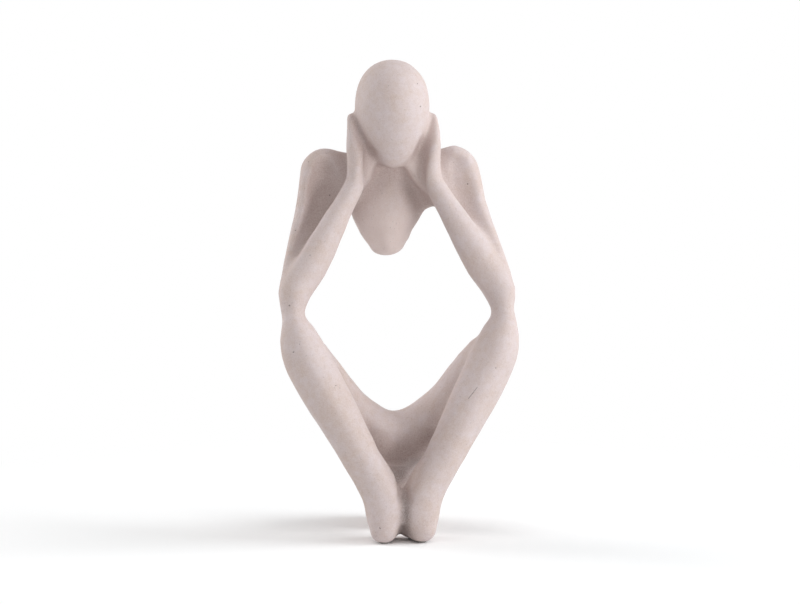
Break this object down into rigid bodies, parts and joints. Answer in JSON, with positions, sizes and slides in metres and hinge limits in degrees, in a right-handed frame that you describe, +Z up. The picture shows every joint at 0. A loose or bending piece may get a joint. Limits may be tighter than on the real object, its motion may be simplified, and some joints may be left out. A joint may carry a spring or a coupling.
{
  "type": "abstract seated figure statue",
  "caption": "Faceless seated figure with its elbows on its knees and its hands holding its head, an open diamond between its limbs, for standing on a shelf.",
  "frame": {"origin": "on the shelf under the middle of the figure's bounding box", "axes": "+X to the viewer's right, -Y the way the figure faces, +Z up"},
  "size_m": [0.1308, 0.0928, 0.2588],
  "materials": {
    "resin": "matt cast resin that looks like fine pinkish sandstone, with speckle and small pits",
    "steel": "plain drawn steel, hidden in the castings",
    "felt": "thin pressed felt"
  },
  "bodies": {
    "root": {"head": "resin", "torso": "resin", "arm_left": "resin", "arm_right": "resin", "leg_left": "resin", "leg_right": "resin", "pelvis": "resin", "foot_pad_left": "felt", "foot_pad_right": "felt", "seat_pad": "felt", "neck_pin": "steel", "shoulder_pin_left": "steel", "shoulder_pin_right": "steel", "elbow_pin_left": "steel", "elbow_pin_right": "steel", "hip_pin_left": "steel", "hip_pin_right": "steel"}
  },
  "joints": []
}
